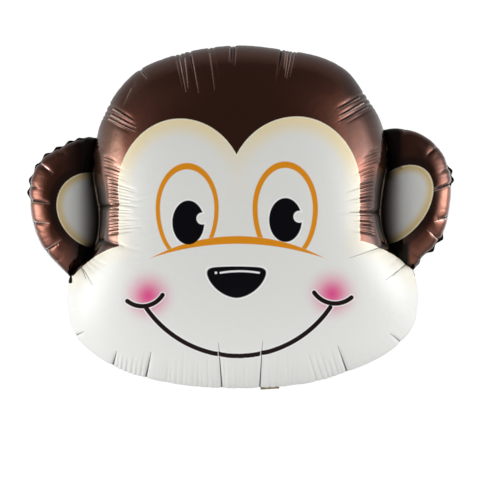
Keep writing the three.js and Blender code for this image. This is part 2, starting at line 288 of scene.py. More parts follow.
CHIN_TRAINS = [
    ((118, 371), (140, 378), ((3, -24), (4, -28)), 6, 2.3, 0.72),
    ((166, 384), (214, 389), ((2, -30), (-1, -44)), 10, 1.0, 1.1),
    ((226, 391), (256, 391), ((-1, -46), (1, -46)), 7, 1.3, 1.1),
    ((265, 390), (298, 387), ((2, -48), (-3, -38)), 7, 1.3, 1.1),
    ((318, 383), (344, 377), ((-10, -31), (-9, -28)), 6, 2.3, 0.72),
]
# The fans at the cheeks' tops: the two ends of each line and the half width of its painted shadow
FANS = [
    ((81.5, 268), (86, 279), 0.5), ((83, 269), (92.5, 285), 0.4), ((87, 265), (96, 274), 0),
    ((91, 262), (101, 270), 0), ((95, 259), (106, 266), 0), ((379.5, 247.5), (358, 259), 0),
    ((390, 251), (374.5, 261.5), 0), ((398, 257.5), (382.5, 271), 0),
    ((407, 263), (393, 276), 0.5), ((404.5, 266), (386, 280), 0.4),
]
NECK_CREASES = [
    ((98, 207), (121, 203), 2.4, 0.9, 0.75, 0, 0, 1.0),
    ((120, 203.2), (150, 198), 0.9, 1.0),
    ((98, 239.3), (124, 246.5), 2.4, 1.0, 0.75, 0, 0, 1.0),
    ((122, 246), (142, 252), 0.9, 1.0),
    ((382, 212), (350, 212.2), 2.4, 0.9, 0.7, 0, 0, 1.0),
    ((352, 212), (330, 214), 1.0, 1.0),
    ((389, 242), (378, 248.5), 2.0, 1.1, 0.9, 0, 0, 1.0),
    ((379, 248), (350, 258), 1.0, 1.2, 0.4),
]
UPPER_NECK_TRAIN = ((96, 133), (96, 149), ((9, -4), (12, -4)), 5, 0.8, 1.0)
# These run from a neck into the head along the skin's columns
NECK_TRAINS = [
    ((97, 154), (98, 172), ((24, 0), (30, 0)), 6, 2.4, 1.0, 5),
    ((98, 176), (99, 203), ((36, 0), (44, 0)), 8, 2.6, 1.0, 9),
    ((99, 209), (98, 238), ((44, 0), (42, 0)), 8, 2.4, 1.0, 10),
    ((385, 146), (386, 160), ((-20, 0), (-27, 0)), 5, 2.2, 1.0, 5),
    ((386, 164), (383, 207), ((-32, 0), (-42, 0)), 12, 2.6, 1.0, 9),
    ((384, 217), (386, 240), ((-46, 0), (-44, 0)), 7, 2.4, 1.0, 10),
]
EAR_CREASES = [
    ((31, 200.5), (50, 202.5), 3.4, 0.9, 0.9, 0.5, -1.5, 0.5),
    ((31, 223), (50, 225), 3.2, 0.9, 0.6, 0.6, 1.5, 0.5),
    ((46, 251), (62, 241), 3.2, 0.9, 0.7, 0.6, 1.5, 0.5),
    ((34, 231), (43, 233), 1.2, 1.0),
    ((40, 164), (53, 174), 2.6, 0.9, 0.5, 0.7, 1.2, 0.5),
    ((59, 148), (67, 157), 2.0, 1.0, 0.4, 0, 0, 0.4),
    ((70, 273), (76, 264), 0.8, 1.1),
    ((56, 262), (66, 254), 1.6, 1.0),
    ((30, 186), (38, 187), 1.6, 1.0, 0, 0, 0, 0.4),
    ((82, 139), (86, 149), 1.6, 1.0, 0, 0, 0, 0.4),
    ((451, 184), (433, 190), 3.4, 0.9, 0.9, 0.6, 1.5, 0.5),
    ((449, 217.3), (434, 220.5), 3.2, 0.9, 0.6, 0.6, 1.5, 0.5),
    ((441, 241), (428, 229), 3.0, 0.9, 0.5, 0.6, 1.3, 0.5),
    ((425, 261), (410, 253), 2.6, 0.9, 0.5, 0, 0, 0.5),
    ((436, 147), (424, 158), 1.8, 1.0, 0, 0, 0, 0.4),
    ((405, 131), (403, 142), 1.6, 1.0, 0, 0, 0, 0.4),
    ((449, 168), (440, 172), 1.6, 1.0, 0, 0, 0, 0.4),
    ((417, 272), (409, 262), 2.0, 1.0, 0, 0, 0, 0.5),
]
EAR_TRAINS = [
    ((33, 170), (30, 197), ((17, 5), (18, 3)), 7, 0.3, 0.9),
    ((30, 203), (33, 221), ((17, 2), (17, 1)), 5, 0.25, 0.9),
    ((34, 226), (42, 245), ((16, -1), (16, -5)), 5, 0.3, 0.9),
    ((451, 188), (450, 214), ((-17, 3), (-17, 1)), 6, 0.25, 0.9),
    ((445, 150), (451, 180), ((-15, 6), (-17, 3)), 7, 0.3, 0.9),
]


def make_creases():
    rng = np.random.default_rng(11)
    head_rows = CROWN_CREASES + SHOULDER_CREASES + CHIN_CREASES
    made = [Crease(*row) for row in head_rows]
    for row in CHIN_TRAINS:
        made += train(rng, *row)
    made += [Crease(start, end, 0.7, 1.1, dark) for start, end, dark in FANS]
    made += [Crease(*row) for row in NECK_CREASES]
    made += train(rng, *UPPER_NECK_TRAIN)
    for row in NECK_TRAINS:
        pleats = train(rng, *row)
        for pleat in pleats:
            pleat.follows = True
        made += pleats
    ears = [Crease(*row) for row in EAR_CREASES]
    for row in EAR_TRAINS:
        ears += train(rng, *row)
    for crease in ears:
        crease.on_ear = True
    return made + ears


def loose_pleats(rng, stretch, spacing, depth, reach):
    """Small pleats all along a free edge, where the foil gathers at the weld."""
    made = []
    along = rng.uniform(0, spacing)
    while along < stretch.length:
        share = along / stretch.length
        here, next_one = stretch.at([share, min(1, share + 1e-3)])
        tangent = (next_one - here) / max(1e-9, np.hypot(*(next_one - here)))
        inward = np.array([-tangent[1], tangent[0]])
        lean = tangent * rng.uniform(-0.35, 0.35)
        ends = np.array([here - inward * 4, here + (inward + lean) * reach * rng.uniform(0.5, 1.3)])
        start, end = pixels(ends, np.array([0.0, 20.0]))
        made.append(Crease(start, end, depth * rng.uniform(0.3, 1.2), rng.uniform(0.9, 1.8)))
        made[-1].on_ear = stretch.kind == "ear"
        along += spacing * rng.uniform(0.5, 1.6)
    return made


creases = make_creases()
pleat_rng = np.random.default_rng(5)
for stretch_name in ("crown", "chin"):
    creases += loose_pleats(pleat_rng, stretches[stretch_name], spacing=9, depth=0.32, reach=26)
for stretch_name in ("left_ear", "right_ear"):
    creases += loose_pleats(pleat_rng, stretches[stretch_name], spacing=6, depth=0.3, reach=14)

FADE_POWER = 2.6  # how late a crease loses its depth on its way inwards
ROUND_BOTTOM = 0.12  # of a crease's cross-section, in square pixels
FINE_CELL, COARSE_CELL = 0.62, 2.6  # millimetres a column takes beside a pleat and far from any


def crease_depth(spots, on_ear):
    """How far the foil is drawn in at places given in the photograph's pixels, in millimetres."""
    total = np.zeros(spots.shape[:-1])
    for crease in creases:
        if crease.follows or crease.on_ear != on_ear:
            continue
        line = crease.end - crease.start
        length = np.hypot(*line)
        offset = spots - crease.start
        along = (offset @ line) / length**2
        aside = (offset[..., 0] * line[1] - offset[..., 1] * line[0]) / length
        near = (along < 1) & (along * length > -9) & (np.abs(aside) < 9 * crease.width)
        fade = 1 - np.clip(along[near], 0, 1) ** FADE_POWER
        if crease.begin:
            fade *= smooth((along[near] * length - crease.begin) / 4)
        sharp = np.exp(-np.sqrt(aside[near] ** 2 + ROUND_BOTTOM) / crease.width)
        total[near] += crease.depth * fade * sharp
        if crease.wide:
            total[near] += crease.wide * fade * np.exp(-((aside[near] / (4 * crease.width)) ** 2))
    return total


def neck_depth(spots, at_neck):
    """The same for the pleats that follow the skin's columns. The first row of spots is the rim."""
    total = np.zeros(spots.shape[:-1])
    for crease in creases:
        if not crease.follows:
            continue
        line = crease.end - crease.start
        aside = spots[0, :, 1] - crease.start[1]
        near = at_neck & (np.abs(aside) < 9) & (np.abs(spots[0, :, 0] - crease.start[0]) < 40)
        inward = (spots[:, near, 0] - crease.start[0]) * np.sign(line[0])
        fade = 1 - np.clip(inward / abs(line[0]), 0, 1) ** FADE_POWER
        fade *= smooth((inward - crease.begin) / 4)
        sharp = np.exp(-np.sqrt(aside[near] ** 2 + ROUND_BOTTOM) / crease.width)
        total[:, near] += crease.depth * fade * sharp
    return total


def choose_columns():
    """Shares out the columns of each stretch, close together where there are pleats."""
    outer_ends = np.array([c.start for c in creases if c.depth > 0.4])
    for stretch in stretches.values():
        shares = np.linspace(0, 1, 1601)
        spots = pixels(stretch.at(shares), 0.0)
        gaps = np.hypot(*(spots[:, None] - outer_ends[None]).transpose(2, 0, 1)).min(1)
        spacing = np.interp(gaps, [2.5, 12], [FINE_CELL, COARSE_CELL])
        cells = np.concatenate([[0], np.cumsum(stretch.length / 1600 / spacing[1:])])
        count = 4 * round(cells[-1] / 4)
        stretch.shares = np.interp(np.arange(count) / count * cells[-1], cells, shares)


choose_columns()


# Lobes of a sheet

class Lobe:
    """The head or an ear of one sheet, above the weld's plane, as rings of columns."""

    def __init__(self, stretch_list, rise, ring_count, cut=math.inf):
        self.stretches = stretch_list
        self.rise = rise
        self.cut = cut
        self.is_ear = stretch_list[0].kind == "ear"
        solid = [SOLID_COLUMNS[s.kind] for s in stretch_list]
        self.turns = np.concatenate([[0], np.cumsum(solid)]) / sum(solid)
        even = [np.arange(n * 16) / (n * 16) for n in solid]
        widest = self.edge(even)["widest"]
        turn = np.arange(len(widest)) / len(widest)
        self.waves = np.arange(-HARMONICS, HARMONICS + 1)
        turning = np.exp(-2j * math.pi * np.outer(self.waves, turn)) / len(turn)
        self.plan = turning @ (widest[:, 0] + 1j * widest[:, 1])
        self.foot = turning @ widest[:, 2]
        self.columns = self.edge([s.shares for s in stretch_list])
        self.make_rings(ring_count)

    def edge(self, shares_of_each):
        """The weld's inner line and the widest line at shares of each stretch."""
        found = {"rim": [], "inset": [], "bulge": [], "rise": [], "turn": [], "neck": [], "fade": []}
        for k, (stretch, shares) in enumerate(zip(self.stretches, shares_of_each)):
            along = shares * stretch.length
            to_start, to_end = along, stretch.length - along
            to_root = np.minimum(to_start, to_end)
            root_y = np.where(to_start < to_end, stretch.fine[0, 1], stretch.fine[-1, 1])
            fade = smooth(to_root / NOTCH_BLEND)
            is_neck = stretch.kind == "neck"
            passage = np.where(root_y > 0, UPPER_PASSAGE, LOWER_PASSAGE)
            opening = np.where(to_root < passage, np.sin(math.pi * to_root / passage) ** 2, 0)
            found["rim"].append(stretch.at(shares))
            found["inset"].append((BAND_WIDTH / 2 if is_neck else SEAM_WIDTH) * fade)
            found["bulge"].append(0 * fade if is_neck else fade)
            found["rise"].append(PASSAGE_RISE * opening * is_neck)
            found["turn"].append(self.turns[k] + shares * (self.turns[k + 1] - self.turns[k]))
            found["neck"].append(np.full(len(shares), is_neck))
            found["fade"].append(fade)
        out = {name: np.concatenate(rows) for name, rows in found.items()}
        ahead = np.roll(out["rim"], -1, 0) - out["rim"]
        ahead /= np.hypot(*ahead.T)[:, None]
        way = ahead + np.roll(ahead, 1, 0)
        way /= np.hypot(*way.T)[:, None]
        out["normal"] = np.stack([way[:, 1], -way[:, 0]], 1)
        seam = out["rim"] - out["normal"] * out["inset"][:, None]
        out["seam"] = np.column_stack([seam, SEAM_FACE + out["rise"]])
        wide = seam + out["normal"] * (BULGE * out["bulge"])[:, None]
        out["widest"] = np.column_stack([wide, SEAM_FACE + out["rise"] + BULGE_RISE * out["bulge"]])
        return out

    def inside(self, share, turn):
        """The smooth map of a disc to the lobe: plan position and the foot of the dome."""
        fade = share ** np.abs(self.waves)
        turning = np.exp(2j * math.pi * np.outer(turn, self.waves))
        plan = turning @ (self.plan * fade)
        return np.column_stack([plan.real, plan.imag, (turning @ (self.foot * fade)).real])

    def make_rings(self, ring_count):
        columns = self.columns
        widest, seam = columns["widest"], columns["seam"]
        rings = []
        # From the weld's inner line out over the margin to the widest line
        for angle in np.linspace(0, math.pi / 2, 5)[:-1]:
            lift = (1 - math.cos(angle)) * (widest[:, 2] - seam[:, 2])
            out = math.sin(angle) * (widest[:, :2] - seam[:, :2])
            rings.append(np.column_stack([seam[:, :2] + out, seam[:, 2] + lift]))
        # Over the dome, in steps that grow towards the middle
        reach = np.hypot(*(widest[:, :2] - widest[:, :2].mean(0)).T).mean()
        share = 1 - np.linspace(0, 1, 4001) ** 2
        height = self.rise * self.dome(share)
        length = np.concatenate([[0], np.cumsum(np.hypot(np.diff(share * reach), np.diff(height)))])
        growing = np.linspace(0, 1, ring_count + 1)[:-1] ** 1.25
        shares = np.interp(growing * length[-1], length, share)
        missed = widest - self.inside(1, columns["turn"])
        for share in shares:
            p = self.inside(share, columns["turn"]) + missed * share**HARMONICS
            p[:, 2] = np.minimum(self.cut, p[:, 2] + (self.rise - p[:, 2]) * self.dome(share))
            rings.append(p)
        self.base = np.array(rings)
        middle = self.inside(0, np.zeros(1))[0]
        self.middle = np.array([middle[0], middle[1], min(self.cut, self.rise)])

    @staticmethod
    def dome(share):
        return (1 - share**DOME_POWER) ** (1 / DOME_POWER)

    def pleat(self):
        """Draws the foil in along its creases."""
        base = self.base
        round_about = np.roll(base, -1, 1) - np.roll(base, 1, 1)
        upward = np.gradient(base, axis=0)
        normal = np.cross(round_about, upward)
        normal /= np.maximum(np.linalg.norm(normal, axis=2), 1e-9)[..., None]
        self.spots = pixels(base, base[..., 2])
        self.middle_spot = pixels(self.middle, self.middle[2])
        steps = np.linalg.norm(np.diff(base, axis=0), axis=2)
        walked = np.concatenate([np.zeros((1, base.shape[1])), np.cumsum(steps, axis=0)])
        depth = crease_depth(self.spots, self.is_ear) * smooth(walked / 7)
        if not self.is_ear:
            depth += neck_depth(self.spots, self.columns["neck"]) * smooth(walked / 7)
        self.points = base - normal * depth[..., None]
        flat_patch = base[..., 2] >= self.cut - 1e-6
        self.points[flat_patch] = base[flat_patch]
        return self


# Where the dark welded margin of the ears shows as a row of beads outside the filled foil, how
# far each stands out, how far the margin is drawn in round it, and the foil too
BEADS = [
    (91, 140), (80, 142), (70.5, 144.5), (58.5, 150), (47.5, 157), (39.5, 167.5), (33, 180.5),
    (31, 192.5), (450, 171), (451, 180), (441, 239), (431, 249), (416, 263),
]
BEAD_REACH, BEAD_HOLLOW, FOIL_HOLLOW = 5.6, 1.8, 3.0


def beads(rim):
    """How near the rim is to the middle of a bead, from 0 to 1: for the bead and for its hollow."""
    spots = pixels(rim, 0.0)
    away = np.hypot(*(spots[:, None] - np.array(BEADS)[None]).transpose(2, 0, 1)).min(1)
    return np.exp(-((away / 4.5) ** 2)), np.exp(-((away / 9) ** 2))


def margin_pull(rim, on_ear):
    """How far the rim of the welded margin is drawn in beside the creases."""
    return np.minimum(1.3, 0.4 * crease_depth(pixels(rim, 0.0), on_ear))


def gather(rim, fade):
    """The slow wave of the gathered margin, up and down off the weld's plane."""
    x, y = rim[:, 0], rim[:, 1]
    wave = np.sin(0.21 * x + 0.13 * y) + 0.7 * np.sin(0.11 * x - 0.27 * y + 1) + 0.5 * np.sin(0.4 * x + 2)
    return 0.45 * wave * fade


# Meshes

class Skin:
    """Collects points and faces of one closed sheet."""

    def __init__(self):
        self.points = []
        self.spots = []
        self.on_ear = []
        self.on_rim = []
        self.faces = []
        self.count = 0

    def add(self, points, spots, on_ear, on_rim=0.0):
        points = np.atleast_2d(points)
        self.points.append(points)
        self.spots.append(np.atleast_2d(spots))
        self.on_ear.append(np.full(len(points), float(on_ear)))
        self.on_rim.append(np.full(len(points), float(on_rim)))
        self.count += len(points)
        return np.arange(self.count - len(points), self.count)

    def strip(self, right, left, closed=False):
        n = len(right)
        i = np.arange(n if closed else n - 1)
        j = (i + 1) % n
        self.faces.append(np.column_stack([right[i], right[j], left[j]]))
        self.faces.append(np.column_stack([right[i], left[j], left[i]]))

    def halving_strip(self, outer, inner):
        i = np.arange(len(inner))
        following = inner[(i + 1) % len(inner)]
        a, b, c = outer[2 * i], outer[2 * i + 1], outer[(2 * i + 2) % len(outer)]
        self.faces.append(np.column_stack([a, b, inner]))
        self.faces.append(np.column_stack([b, following, inner]))
        self.faces.append(np.column_stack([b, c, following]))

    def fan(self, row, middle):
        self.faces.append(np.column_stack([row, np.roll(row, -1), np.full(len(row), middle)]))

    def mesh(self, name, face_down):
        """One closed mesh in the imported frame, its shared points merged."""
        points = np.vstack(self.points)
        spots = np.vstack(self.spots)
        on_ear, on_rim = np.concatenate(self.on_ear), np.concatenate(self.on_rim)
        faces = np.vstack(self.faces)
        key = np.round(points, 3)
        _, first, place = np.unique(key, axis=0, return_index=True, return_inverse=True)
        faces = place.reshape(-1)[faces]
        a, b, c = faces.T
        faces = faces[(a != b) & (b != c) & (c != a)]
        points, spots, on_ear, on_rim = points[first].copy(), spots[first], on_ear[first], on_rim[first]
        if face_down:
            points[:, 2] *= -1
            faces = faces[:, ::-1]
        points[:, :2] -= HEAD_MIDDLE
        points /= 1000
        points += (FRAME_X, FRAME_Y, WELD_Z)
        mesh = bpy.data.meshes.new(name)
        mesh.from_pydata(points.tolist(), [], faces.tolist())
        mesh.update()
        place_on_print = mesh.attributes.new("print_place", "FLOAT_VECTOR", "POINT")
        flat = np.column_stack([spots, on_ear]).astype(np.float32)
        place_on_print.data.foreach_set("vector", flat.ravel())
        margin = mesh.attributes.new("margin", "FLOAT", "POINT")
        margin.data.foreach_set("value", on_rim.astype(np.float32))
        mesh.shade_smooth()
        mesh.set_sharp_from_angle(angle=math.radians(55))
        return mesh


def draw_margin(lobe, sign):
    """Waves the welded margin and draws it in beside the creases and round the beads."""
    columns = lobe.columns
    lobe.wave = gather(columns["rim"], columns["fade"] * ~columns["neck"]) * sign
    drawn = margin_pull(columns["rim"], lobe.is_ear) * columns["bulge"]
    bead, near_bead = beads(columns["rim"])
    free = columns["bulge"] * lobe.is_ear
    drawn = drawn + (BEAD_HOLLOW * near_bead - BEAD_REACH * bead) * free
    held_in = FOIL_HOLLOW * near_bead * free
    # The wave and the pull die out over the first rings
    for k, ring in enumerate(lobe.points):
        ease = math.exp(-max(0, k - 3) / 4)
        ring[:, 2] += lobe.wave * ease
        inward = (drawn + held_in * min(1, k / 3)) * ease
        ring[:, :2] -= columns["normal"] * inward[:, None]
    rim = columns["rim"] - columns["normal"] * drawn[:, None]
    lobe.rim = np.column_stack([rim, SEAM_FACE + lobe.wave])
    lobe.rim_under = np.column_stack([rim, INNER_FACE + lobe.wave])


def cover(skin, lobe):
    """Adds a lobe's rings, with fewer columns from half way in, and its flat inner side."""
    half = round(len(lobe.points) * 0.57)
    quarter = round(len(lobe.points) * 0.74)
    rows = []
    for k, ring in enumerate(lobe.points):
        step = 1 if k <= half else 2 if k <= quarter else 4
        rows.append(skin.add(ring[::step], lobe.spots[k][::step], lobe.is_ear))
    for outer, inner in zip(rows, rows[1:]):
        if len(outer) == len(inner):
            skin.strip(outer, inner, True)
        else:
            skin.halving_strip(outer, inner)
    skin.fan(rows[-1], skin.add(lobe.middle, lobe.middle_spot, lobe.is_ear)[0])
    lobe.rows = rows
    under = lobe.points[0].copy()
    under[:, 2] = INNER_FACE + lobe.wave
    lobe.under = skin.add(under, lobe.spots[0], lobe.is_ear)
    inner_middle = np.array([lobe.middle[0], lobe.middle[1], INNER_FACE])
    skin.fan(lobe.under[::-1], skin.add(inner_middle, lobe.middle_spot, lobe.is_ear)[0])


def close_margin(skin, lobe, start, count):
    """Adds the welded margin along some of a lobe's columns."""
    pick = (start + np.arange(count + 1)) % len(lobe.rim)
    rim_spots = pixels(lobe.rim[pick], 0.0)
    rim = skin.add(lobe.rim[pick], rim_spots, lobe.is_ear, 1.0)
    rim_under = skin.add(lobe.rim_under[pick], rim_spots, lobe.is_ear, 1.0)
    skin.strip(rim, lobe.rows[0][pick])
    skin.strip(lobe.under[pick], rim_under)
    skin.strip(rim_under, rim)


def join_ear(skin, head, ear, start, count):
    """Adds the welded band between an ear and the head's columns from start on."""
    pick = (start + np.arange(count + 1)) % len(head.under)
    ear_pick = (-np.arange(count + 1)) % len(ear.under)
    skin.strip(ear.rows[0][ear_pick], head.rows[0][pick])
    skin.strip(head.under[pick], ear.under[ear_pick])


def make_sheet(name, rise, face_down, cut=math.inf, rings=(54, 26)):
    """One closed sheet: the lobes of the head and the ears, the margins and the bands between."""
    s = stretches
    head = Lobe([s["crown"], s["left_neck"], s["chin"], s["right_neck"]], rise, rings[0], cut)
    left = Lobe([s["left_ear"], s["left_neck"].turned()], EAR_RISE, rings[1])
    right = Lobe([s["right_ear"], s["right_neck"].turned()], EAR_RISE, rings[1])
    skin = Skin()
    for lobe in (head, left, right):
        lobe.pleat()
        draw_margin(lobe, -1 if face_down else 1)
        cover(skin, lobe)
    crown, left_neck, chin, right_neck = (len(x.shares) for x in head.stretches)
    close_margin(skin, head, 0, crown)
    close_margin(skin, head, crown + left_neck, chin)
    close_margin(skin, left, 0, len(s["left_ear"].shares))
    close_margin(skin, right, 0, len(s["right_ear"].shares))
    join_ear(skin, head, left, crown, left_neck)
    join_ear(skin, head, right, crown + left_neck + chin, right_neck)
    piece = bpy.data.objects.new(name, skin.mesh(name, face_down))
    bpy.context.scene.collection.objects.link(piece)
    return piece


front = make_sheet("front_sheet", FRONT_RISE, False)
back = make_sheet("back_sheet", BACK_RISE, True, BACK_RISE - REST_SAG, (44, 20))


# Materials

class NodeWork:
    """Short ways to put sums and shapes together from nodes."""

    def __init__(self, tree):
        self.nodes = tree.nodes
        self.links = tree.links

    def feed(self, socket, value):
        if isinstance(value, bpy.types.NodeSocket):
            self.links.new(value, socket)
        else:
            socket.default_value = value

    def math(self, operation, *values):
        node = self.nodes.new("ShaderNodeMath")
        node.operation = operation
        for socket, value in zip(node.inputs, values):
            self.feed(socket, value)
        return node.outputs[0]

    def sum(self, a, b):
        return self.math("ADD", a, b)

    def less(self, a, b):
        return self.math("SUBTRACT", a, b)

    def times(self, a, b):
        return self.math("MULTIPLY", a, b)

    def absolute(self, a):
        return self.math("ABSOLUTE", a)

    def chain(self, operation, values):
        found = values[0]
        for value in values[1:]:
            found = self.math(operation, found, value)
        return found

    def product(self, *values):
        return self.chain("MULTIPLY", values)

    def apart(self, vector):
        node = self.nodes.new("ShaderNodeSeparateXYZ")
        self.links.new(vector, node.inputs[0])
        return node.outputs[0], node.outputs[1], node.outputs[2]

    def camera_sees(self):
        """1 for what the camera sees directly and 0 in reflections and for light."""
        return self.nodes.new("ShaderNodeLightPath").outputs["Is Camera Ray"]

    def either(self, *shapes):
        """The union of shapes, each a distance that is negative inside."""
        return self.chain("MINIMUM", shapes)

    def both(self, *shapes):
        """What lies in all the shapes, or the largest of several shares."""
        return self.chain("MAXIMUM", shapes)

    def step(self, value, low, high, to_low=0.0, to_high=1.0, soft=True):
        node = self.nodes.new("ShaderNodeMapRange")
        node.interpolation_type = "SMOOTHSTEP" if soft else "LINEAR"
        for socket, given in zip(node.inputs, (value, low, high, to_low, to_high)):
            self.feed(socket, given)
        return node.outputs[0]

    def inked(self, shape, edge=0.45):
        """1 inside a shape and 0 outside, with an edge as soft as print."""
        return self.step(shape, -edge, edge, 1.0, 0.0)

    def blend(self, factor, under, over):
        node = self.nodes.new("ShaderNodeMix")
        node.data_type = "RGBA"
        self.feed(node.inputs["Factor"], factor)
        self.feed(node.inputs["A"], under)
        self.feed(node.inputs["B"], over)
        return node.outputs["Result"]


class Paint(NodeWork):
    """A material whose colours are worked out by its nodes."""

    def __init__(self, name):
        self.material = bpy.data.materials.new(name)
        self.material.use_nodes = True
        super().__init__(self.material.node_tree)
        self.shader = self.nodes["Principled BSDF"]

    def object_place(self):
        return self.nodes.new("ShaderNodeTexCoord").outputs["Object"]

    def noise(self, scale, detail):
        node = self.nodes.new("ShaderNodeTexNoise")
        node.inputs["Scale"].default_value = scale
        node.inputs["Detail"].default_value = detail
        self.feed(node.inputs["Vector"], self.object_place())
        return node.outputs["Fac"]

    def bump(self, height, distance):
        node = self.nodes.new("ShaderNodeBump")
        node.inputs["Distance"].default_value = distance
        self.feed(node.inputs["Height"], height)
        self.links.new(node.outputs["Normal"], self.shader.inputs["Normal"])

    def set(self, **values):
        for name, value in values.items():
            self.feed(self.shader.inputs[name.replace("_", " ")], value)


class Print(Paint):
    """Flat shapes on the front sheet, placed in the photograph's pixels."""

    def __init__(self, name):
        super().__init__(name)
        place = self.nodes.new("ShaderNodeAttribute")
        place.attribute_name = "print_place"
        self.x, self.y, self.on_ear = self.apart(place.outputs["Vector"])

    def length(self, a, b):
        return self.math("SQRT", self.sum(self.times(a, a), self.times(b, b)))

    def between(self, left, right):
        """The upright band between two columns of the picture."""
        return self.both(self.less(left, self.x), self.less(self.x, right))

    def circle(self, centre, radius):
        away = self.length(self.less(self.x, centre[0]), self.less(self.y, centre[1]))
        return self.less(away, radius)

    def ellipse(self, centre, half_width, half_height, turned=0.0, left_half=None, lower_half=None):
        """left_half is the half width on the left, where the two sides differ, and lower_half is the
        half height below."""
        dx, dy = self.less(self.x, centre[0]), self.less(self.y, centre[1])
        if lower_half:
            downward = self.times(self.math("MAXIMUM", dy, 0.0), half_height / lower_half)
            dy = self.sum(self.math("MINIMUM", dy, 0.0), downward)
        if left_half:
            leftward = self.times(self.math("MINIMUM", dx, 0.0), half_width / left_half)
            dx = self.sum(self.math("MAXIMUM", dx, 0.0), leftward)
        if turned:
            c, s = math.cos(math.radians(turned)), math.sin(math.radians(turned))
            dx, dy = (self.sum(self.times(dx, c), self.times(dy, s)),
                      self.less(self.times(dy, c), self.times(dx, s)))
        near = self.length(self.times(dx, 1 / half_width), self.times(dy, 1 / half_height))
        slope = self.length(self.times(dx, 1 / half_width**2), self.times(dy, 1 / half_height**2))
        slope = self.math("MAXIMUM", slope, 1e-4)
        return self.math("DIVIDE", self.times(near, self.less(near, 1)), slope)

    def rounded_nose(self, top, half_width, height):
        """A flat-topped nose that narrows to a round tip."""
        power, shoulder = 1.75, 2.7
        dx = self.absolute(self.less(self.x, top[0]))
        down = self.math("MAXIMUM", self.less(self.y, top[1] + shoulder), 0.0)
        across = self.math("POWER", self.times(dx, 1 / half_width), power)
        below = self.math("POWER", self.times(down, 1 / (height - shoulder)), power)
        lower = self.less(self.math("POWER", self.sum(across, below), 1 / power), 1)
        lower = self.times(lower, 0.8 * half_width)
        arched = self.sum(self.times(self.times(dx, dx), 0.0016), top[1] - 1.2)
        return self.math("SMOOTH_MAX", lower, self.less(arched, self.y), 10.0)

    def fold(self, crease):
        """How much of a place is a crease's painted shadow at its bottom and how much the painted highlight
        on its flank, from 0 to 1.
        """
        dx, dy = crease.end - crease.start
        length = math.hypot(dx, dy)
        x, y = self.less(self.x, crease.start[0]), self.less(self.y, crease.start[1])
        along = self.sum(self.times(x, dx / length), self.times(y, dy / length))
        aside = self.less(self.times(x, dy / length), self.times(y, dx / length))
        ends = self.less(self.absolute(self.less(along, length / 2)), length / 2)
        thinning = self.step(along, 0, length, 1.0, 0.2, soft=False)
        found = []
        for strength, middle, half_width in ((1, 0.0, crease.dark), (crease.shine, crease.shift, 0.7)):
            if not strength * half_width:
                found.append(0.0)
                continue
            away = self.absolute(self.less(aside, middle))
            line = self.inked(self.both(self.less(away, self.times(thinning, half_width)), ends), 0.5)
            found.append(self.times(line, strength))
        return found

    def half_plane(self, corner, towards):
        """Negative on the left of the way from corner towards a point, as seen in the picture."""
        dx, dy = towards[0] - corner[0], towards[1] - corner[1]
        length = math.hypot(dx, dy)
        down = self.times(self.less(self.y, corner[1]), dx / length)
        across = self.times(self.less(self.x, corner[0]), dy / length)
        return self.less(down, across)

    def arc(self, start, through, end, half_width):
        """A round-ended line along the circle through three points, less than half way round."""
        (ax, ay), (bx, by), (cx, cy) = start, through, end
        d = 2 * (ax * (by - cy) + bx * (cy - ay) + cx * (ay - by))
        a2, b2, c2 = ax * ax + ay * ay, bx * bx + by * by, cx * cx + cy * cy
        centre = ((a2 * (by - cy) + b2 * (cy - ay) + c2 * (ay - by)) / d,
                  (a2 * (cx - bx) + b2 * (ax - cx) + c2 * (bx - ax)) / d)
        radius = math.dist(start, centre)
        ring = self.less(self.absolute(self.circle(centre, radius)), half_width)
        clockwise = (bx - ax) * (cy - ay) - (by - ay) * (cx - ax) > 0
        first, last = (start, end) if clockwise else (end, start)
        after = self.times(self.half_plane(centre, first), -1)
        before = self.half_plane(centre, last)
        return self.either(self.both(ring, after, before), self.circle(start, half_width),
                           self.circle(end, half_width))


BROWN = (0.155, 0.042, 0.019, 1)
RED_BROWN = (0.14, 0.032, 0.018, 1)
# A painted highlight on the brown foil
HIGHLIGHT_BROWN = (0.62, 0.36, 0.26, 1)
# Painted shade on the brown foil
SHADE_BROWN = (0.012, 0.004, 0.003, 1)
# Painted shadow in the folds, also the margins' painted shade and the root tabs' ink
SHADOW_AND_INK_BLACK = (0.012, 0.008, 0.007, 1)
# Painted shadow in the gaps at the ears' roots
GAP_SHADOW_BLACK = (0.004, 0.003, 0.003, 1)
# Painted highlights on the folds' flanks, on the brown and on the white
FLANK_HIGHLIGHT = (0.72, 0.50, 0.44, 1)
WHITE_FLANK_HIGHLIGHT = (0.97, 0.97, 0.95, 1)
WELD = (0.80, 0.62, 0.45, 1)
TAIL_FILM = (0.55, 0.42, 0.25, 1)
WHITE = (0.86, 0.862, 0.83, 1)
# Painted shade on the ear patches' white towards the head
SHADED_WHITE = (0.05, 0.045, 0.045, 1)
CREAM = (0.92, 0.79, 0.50, 1)
DEEP_CREAM = (0.78, 0.58, 0.24, 1)
PALE_EDGE = (0.95, 0.90, 0.70, 1)
HALO = (0.99, 0.99, 0.97, 1)
NOSE_SHINE = (0.95, 0.95, 0.95, 1)
ORANGE = (0.82, 0.30, 0.012, 1)
INK = (0.003, 0.003, 0.005, 1)
MOUTH_INK = (0.012, 0.004, 0.004, 1)
PINK = (0.80, 0.10, 0.30, 1)
TAB_HEIGHT = 0.048  # metres above the weld, where the ink at the ears' roots ends
GRAIN, GRAIN_DEPTH = 55, 0.0006


